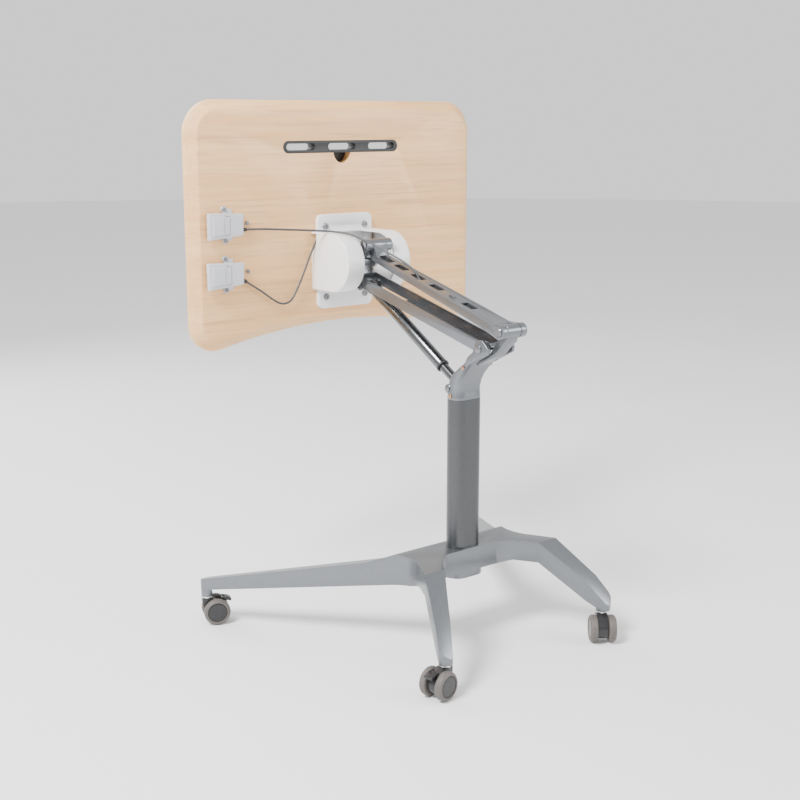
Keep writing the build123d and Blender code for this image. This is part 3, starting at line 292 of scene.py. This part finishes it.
def prism(outline, offset):
    """A closed solid from a flat outline of points and the vector it is swept along."""
    shape = bmesh.new()
    near = [shape.verts.new(p) for p in outline]
    far = [shape.verts.new(Vector(p) + offset) for p in outline]
    shape.faces.new(near)
    shape.faces.new(reversed(far))
    for i in range(len(near)):
        j = (i + 1) % len(near)
        shape.faces.new((near[j], near[i], far[i], far[j]))
    return shape


def loft(rings):
    """A closed solid through rings of equally many points, capped at both ends."""
    shape = bmesh.new()
    made = [[shape.verts.new(p) for p in ring] for ring in rings]
    for a, b in zip(made, made[1:]):
        for i in range(len(a)):
            j = (i + 1) % len(a)
            shape.faces.new((a[i], a[j], b[j], b[i]))
    shape.faces.new(made[0])
    shape.faces.new(reversed(made[-1]))
    return shape


def lathe(profile, centre, axis, steps=64):
    """A solid of revolution from (along, radius) millimetres about an axis through centre."""
    axis = axis.normalized()
    across = axis.orthogonal().normalized()
    other = axis.cross(across)
    rings = []
    for i in range(steps):
        t = 2 * pi * i / steps
        spoke = across * cos(t) + other * sin(t)
        rings.append([centre + (axis * a + spoke * r) * MM for a, r in profile])
    shape = bmesh.new()
    made = [[shape.verts.new(p) for p in ring] for ring in rings]
    for k, ring in enumerate(made):
        after = made[(k + 1) % steps]
        for i in range(len(ring) - 1):
            shape.faces.new((ring[i], ring[i + 1], after[i + 1], after[i]))
    bmesh.ops.remove_doubles(shape, verts=shape.verts, dist=WELD_LATHE)
    return shape


RING_FLAT = 0.01


def rounded_ring(half_w, front, rear, radius, z, steps=7):
    """A level ring of side-view extent front..rear and the given corner radius."""
    middle, half_d = (front + rear) / 2, (rear - front) / 2
    r = min(radius, half_d - RING_FLAT, half_w)
    points = []
    for sx, sy, start in ((1, 1, 0), (-1, 1, 90), (-1, -1, 180), (1, -1, 270)):
        for k in range(steps + 1):
            t = radians(start + 90 * k / steps)
            points.append(
                side_point(middle + sy * (half_d - r) + r * sin(t), z, sx * (half_w - r) + r * cos(t))
            )
    return points


def tool(shape):
    """A hidden cutter for the next piece, from a bmesh."""
    mesh = bpy.data.meshes.new("cutter")
    bmesh.ops.recalc_face_normals(shape, faces=shape.faces)
    shape.to_mesh(mesh)
    shape.free()
    obj = bpy.data.objects.new("cutter", mesh)
    bpy.context.collection.objects.link(obj)
    obj.hide_render = True
    return obj


def merge(*shapes):
    """One bmesh holding several."""
    whole = bmesh.new()
    for shape in shapes:
        mesh = bpy.data.meshes.new("part")
        bmesh.ops.recalc_face_normals(shape, faces=shape.faces)
        shape.to_mesh(mesh)
        shape.free()
        whole.from_mesh(mesh)
        bpy.data.meshes.remove(mesh)
    return whole


# ---------------------------------------------------------------- cables
LIFT_CABLE = [
    (243.5, 9, 768.6), (205, 9, 768), (175, 15, 766), (142, 24, 764), (104, 38, 761.5), (73, 57, 759.6),
    (56, 84, 757), (47, 105, 751), (37, 127, 743), (30, 153, 732.5), (20, 181, 720.5), (9, 210, 706.5),
    (1.5, 233, 690), (0, 242, 673), (0, 268, 664),
]
TILT_CABLE = [
    (244, 8, 672), (208, 8, 650.5), (181, 9, 630.5), (158, 8, 617.5), (137, 9, 620.5), (120.5, 8, 643),
    (104.5, 9, 675), (90, 8.6, 706), (76.5, 10, 733), (70.5, 11.6, 746),
]
CABLE_R = 2.0
# Where the lift cable starts to bend as the top tilts, and where it passes the carrier.
LEAVES_TOP, CARRIER_POINT = (73, 57, 759.6), (30, 153, 732.5)


def cable_place(point):
    """A point in metres from x, the distance out from the board's underside, and height."""
    x, n, z = point
    return Vector((x, UNDERSIDE_Y + n, z)) * MM


def cable_line(route):
    """Points along the route's own smooth NURBS line."""
    curve = bpy.data.curves.new("route", "CURVE")
    curve.dimensions = "3D"
    curve.resolution_u = 12
    spline = curve.splines.new("NURBS")
    spline.points.add(len(route) - 1)
    for slot_point, place in zip(spline.points, route):
        slot_point.co = (*cable_place(place), 1)
    spline.order_u = 3
    spline.use_endpoint_u = True
    holder = bpy.data.objects.new("route", curve)
    bpy.context.collection.objects.link(holder)
    bpy.context.view_layer.update()
    line = bpy.data.meshes.new_from_object(holder)
    points = [v.co.copy() for v in line.vertices]
    bpy.data.objects.remove(holder)
    return points


def tube(points, radius, sides=14):
    """A closed round tube along points, turning as little as it can."""
    rings = []
    across = (points[1] - points[0]).orthogonal().normalized()
    for i, here in enumerate(points):
        ahead = (points[min(i + 1, len(points) - 1)] - points[max(i - 1, 0)]).normalized()
        across = (across - ahead * across.dot(ahead)).normalized()
        other = ahead.cross(across)
        turns = [2 * pi * k / sides for k in range(sides)]
        rings.append([here + (across * cos(t) + other * sin(t)) * radius for t in turns])
    return loft(rings)


def free_cable(name, points, body, replaced):
    """A run of cable between two points of the desk, as a tube."""
    obj = piece(name, tube(points, CABLE_R * MM), "cable_jacket", body, replaced, sharp=80)
    return obj


lift_line = cable_line(LIFT_CABLE)
carrier_at = cable_place(CARRIER_POINT)
split = min(range(len(lift_line)), key=lambda i: (lift_line[i] - carrier_at).length)
board_run, arm_run = lift_line[: split + 1], lift_line[split:]
for name, points, bodies, start, replaced in (
    ("lift_cable_board_run", board_run, ("tabletop", "carrier"), cable_place(LEAVES_TOP), ("lift_cable",)),
    ("lift_cable_arm_run", arm_run, ("carrier", "upper_arm"), arm_run[0], ()),
):
    run = free_cable(name, points, bodies[0], replaced)
    run.parent = None
    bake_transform(run)
free_cable("tilt_cable_run", cable_line(TILT_CABLE), "tabletop", ("tilt_cable",))

# ---------------------------------------------------------------- base and column
softened("base_casting", 4.5, 4, 46, simpler=5.0)
softened("hub_cover_panel", 0.5, 2)
softened("caster_stems", 0.4, 2)

# ---------------------------------------------------------------- casters
joint_of = {joint["name"]: joint for joint in frame["joints"]}
TYRE = [
    (0, 12), (0, 22.5), (0.5, 24.2), (1.8, 25.5), (3.6, 26), (6.6, 26), (7.2, 25.5), (7.8, 26), (9.6, 25.9),
    (11.6, 25), (13.2, 23.6), (14.2, 22), (14.5, 20.8), (14.1, 19.6), (12.4, 19.0), (12, 12),
]
WHEEL_INNER = 10.5
DISC = [(11.6, 0), (13.0, 0), (13.1, 5), (13.5, 16.5), (13.3, 17.9), (12.6, 18.7), (11.6, 18.8)]
for node in [name for name in nodes if "_wheel_" in name]:
    tag, mark = node.split("_")[1], node[-1]
    hinge = joint_of[f"roll_{tag}_{mark}"]
    box_low, box_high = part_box(node)
    centre = (Vector(box_low) + Vector(box_high)) / 2
    outward = (centre - Vector(hinge["pos_m"])).normalized()
    inner = Vector(hinge["pos_m"]) + outward * WHEEL_INNER * MM
    wheel = f"wheel_{tag}_{mark}"
    piece(f"{node}_tyre", lathe(TYRE, inner, outward), "caster_tread", wheel, (node,), sharp=50)
    piece(f"{node}_disc", lathe(DISC, inner, outward), "caster_body", wheel, sharp=50)
for node in [name for name in nodes if name.startswith("caster_") and name.endswith("_body")]:
    softened(node, 1.6)
for node in [name for name in nodes if name.startswith("brake_")]:
    softened(node, 1.2)

# ---------------------------------------------------------------- top, carrier and hand levers
softened("tabletop", 2.2, sharp=40)
for node, bevel, segments in (
    ("slot_insert", 0.7, 2), ("mount_plate", 0.6, 2), ("tilt_bracket", 0.8, 2), ("tilt_cover", 1.0, 3),
    ("carrier_link", 1.2, 3), ("lift_lever_base", 0.9, 3), ("tilt_lever_base", 0.9, 3),
    ("lift_paddle", 0.9, 3), ("tilt_paddle", 0.9, 3), ("tilt_shaft", 0.5, 2), ("carrier_pin", 0.5, 2),
):
    softened(node, bevel, segments)

# ---------------------------------------------------------------- arms and gas spring
LIFT_REST = radians(18)
ALONG = Vector((0, -cos(LIFT_REST), sin(LIFT_REST)))
ABOVE = Vector((0, sin(LIFT_REST), cos(LIFT_REST)))
UP_HEAD = side_point(120, 609)
ARM_LENGTH = 400
# The upper arm's top plate: its height at the head pivot and its fall to the board.
TOP_AT_HEAD, UP_SLOPE = 3.5, -19.5 / ARM_LENGTH
# Its half width where the plate starts, and how much that narrows over the plate's run.
PLATE_FROM, PLATE_RUN, HALF_AT_HEAD, HALF_NARROWS = 17, 366, 27, 7


def on_arm(head, u, v, x):
    """A point of an arm: u from its head pivot to the board, v above, x to the side."""
    return head + (ALONG * u + ABOVE * v) * MM + Vector((x, 0, 0)) * MM


def up_top(u):
    """The height of the upper arm's top plate at u."""
    return TOP_AT_HEAD + UP_SLOPE * u


def up_half(u):
    """The half width of the upper arm at u."""
    return HALF_AT_HEAD - HALF_NARROWS * (u - PLATE_FROM) / PLATE_RUN


SLOT_AT = (359, 314, 262, 207, 112)
SLOT_LENGTH, SLOT_WIDTH, SLOT_RADIUS = 31, 18, 3.2
CUT_ABOVE, CUT_DEEP = 3, 8.5


def arm_slot(u, steps=5):
    """A rounded rectangular cutter through the upper arm's top plate, centred at u."""
    half_u, half_x = SLOT_LENGTH / 2 - SLOT_RADIUS, SLOT_WIDTH / 2 - SLOT_RADIUS
    ring = []
    for su, sx, start in ((1, 1, 0), (-1, 1, 90), (-1, -1, 180), (1, -1, 270)):
        for k in range(steps + 1):
            t = radians(start + 90 * k / steps)
            ring.append((su * half_u + SLOT_RADIUS * cos(t), sx * half_x + SLOT_RADIUS * sin(t)))
    outline = [on_arm(UP_HEAD, u + du, up_top(u + du) + CUT_ABOVE, dx) for du, dx in ring]
    return prism(outline, -ABOVE * CUT_DEEP * MM)


pockets = merge(*[arm_slot(u) for u in SLOT_AT])
softened("upper_arm", 1.2, 3, cut=tool(pockets))
# A dark strip below the pockets, for the shaded inside of the arm.
SHADE_FROM, SHADE_TO, SHADE_HALF, SHADE_BELOW, SHADE_T = 375, 95, 14, 4.4, 1.2
shade = [
    on_arm(UP_HEAD, u, up_top(u) - SHADE_BELOW, x)
    for u, x in (
        (SHADE_FROM, -SHADE_HALF), (SHADE_FROM, SHADE_HALF), (SHADE_TO, SHADE_HALF), (SHADE_TO, -SHADE_HALF),
    )
]
piece("upper_arm_inner_shade", prism(shade, -ABOVE * SHADE_T * MM), "black_plastic", "upper_arm", bevel=0.3)


RIB_FROM, RIB_TO, RIB_WIDTH, RIB_TALL = 24, 372, 4.6, 2.0
RIB_INSET, RIB_SUNK = 3.1, 0.6


def arm_rib(side, steps=24):
    """A low rounded rib along one edge of the upper arm, fading out at both ends."""
    rings = []
    for i in range(steps + 1):
        u = RIB_FROM + (RIB_TO - RIB_FROM) * i / steps
        fade = min(1, 6 * i / steps, 6 * (steps - i) / steps)
        middle = side * (up_half(u) - RIB_INSET)
        section = [
            (RIB_WIDTH / 2 * cos(radians(a)), (RIB_SUNK + RIB_TALL * fade) * sin(radians(a)) - RIB_SUNK)
            for a in range(0, 181, 20)
        ]
        rings.append([on_arm(UP_HEAD, u, up_top(u) + v, middle + x) for x, v in section])
    return loft(rings)


piece("upper_arm_ribs", merge(arm_rib(-1), arm_rib(1)), "frame_paint", "upper_arm", sharp=60)


def grooved_barrel(centre, half, radius, grooves, soft=1.4, groove_deep=0.9):
    """A barrel across a pivot, turned with shallow grooves and rounded ends."""
    groove_r = radius - groove_deep
    profile = [(-half, 0), (-half, radius - soft), (-half + soft, radius)]
    for at in grooves:
        profile += [(at - 1.2, radius), (at - 0.7, groove_r), (at + 0.7, groove_r), (at + 1.2, radius)]
    profile += [(half - soft, radius), (half, radius - soft), (half, 0)]
    return lathe(profile, centre, ALONG_X)


head_pin = grooved_barrel(UP_HEAD, 31.8, 8.5, (-26, 26))
piece("upper_head_pin_skin", head_pin, "zinc_screw", "base", ("upper_head_pin",))
for node, bevel, segments in (
    ("lower_arm", 1.4, 3), ("gas_release_head", 1.5, 3), ("gas_sleeve", 0.4, 2), ("sleeve_ring", 0.5, 2),
    ("lower_head_pin", 0.6, 2),
):
    softened(node, bevel, segments)

# ---------------------------------------------------------------- head
# Height, half width, front, rear and corner radius of each level ring of the neck.
NECK_RINGS = [
    (469, 34.0, -21.0, 21.0, 20.9), (474, 33.8, -20.7, 20.6, 20.5), (480, 33.4, -19.8, 19.6, 19.6),
    (490, 33.0, -17.0, 18.2, 16.5), (503, 32.6, -12.0, 20.5, 13.0), (515, 32.4, -4.4, 25.6, 10.0),
    (528, 32.6, 12.6, 36.6, 9.0), (540, 33.0, 29.2, 49.0, 8.0), (549, 33.4, 41.6, 58.6, 6.5),
    (553.5, 33.2, 47.4, 61.0, 5.0),
]
neck = loft([rounded_ring(*ring, z) for z, *ring in NECK_RINGS])
FORK = [(-60, 470), (-8, 474), (4, 482), (4.6, 492), (0, 504), (0, 531), (-60, 531)]
FORK_HALF = 10.5


def plate_across(outline, x, towards):
    """A plate of side-view outline, from x to towards, in millimetres across the desk."""
    return prism([side_point(y, z, x) for y, z in outline], ALONG_X * (towards - x) * MM)


fork = plate_across(FORK, -FORK_HALF, FORK_HALF)
piece("head_neck", neck, "frame_paint", "base", ("head_casting",), 0.8, 2, 40, cut=tool(fork))
EAR = [
    (38, 545), (45, 556), (58, 566), (61.5, 573), (64, 584), (72, 590), (84, 590), (92, 583), (99, 576),
    (97, 566), (84, 559), (72, 553), (60, 547), (50, 541),
]
EAR_OUT, EAR_IN = 33.6, 27.6
ears = merge(*[plate_across(EAR, side * EAR_OUT, side * EAR_IN) for side in (-1, 1)])
piece("head_ears", ears, "frame_paint", "base", bevel=1.3)
WEB = [
    (38, 543), (50, 553), (66, 560), (84, 566), (92, 578), (100, 590), (108, 598), (120, 597), (128, 600),
    (124, 590), (106, 574), (94, 560), (76, 552), (59, 543), (50, 538),
]
WEB_HALF = 13.9
piece("head_web", plate_across(WEB, WEB_HALF, -WEB_HALF), "frame_paint", "base", bevel=1.2)
EYE = [(-15.7, 5.05), (-15.7, 11.6), (-14.8, 12.5), (14.8, 12.5), (15.7, 11.6), (15.7, 5.05), (-15.7, 5.05)]
piece("head_eye", lathe(EYE, UP_HEAD, ALONG_X), "frame_paint", "base")
GAS_FOOT = side_point(-8, 489)
BOSS = [(17, 0), (17, 8.5), (32.8, 8.5), (33.6, 7.7), (33.6, 0)]
bosses = merge(*[lathe(BOSS, GAS_FOOT, ALONG_X * side) for side in (-1, 1)])
piece("head_pin_bosses", bosses, "frame_paint", "base")
softened("gas_lower_pin", 0.5, 2)
softened("head_screws", 0.5, 2)
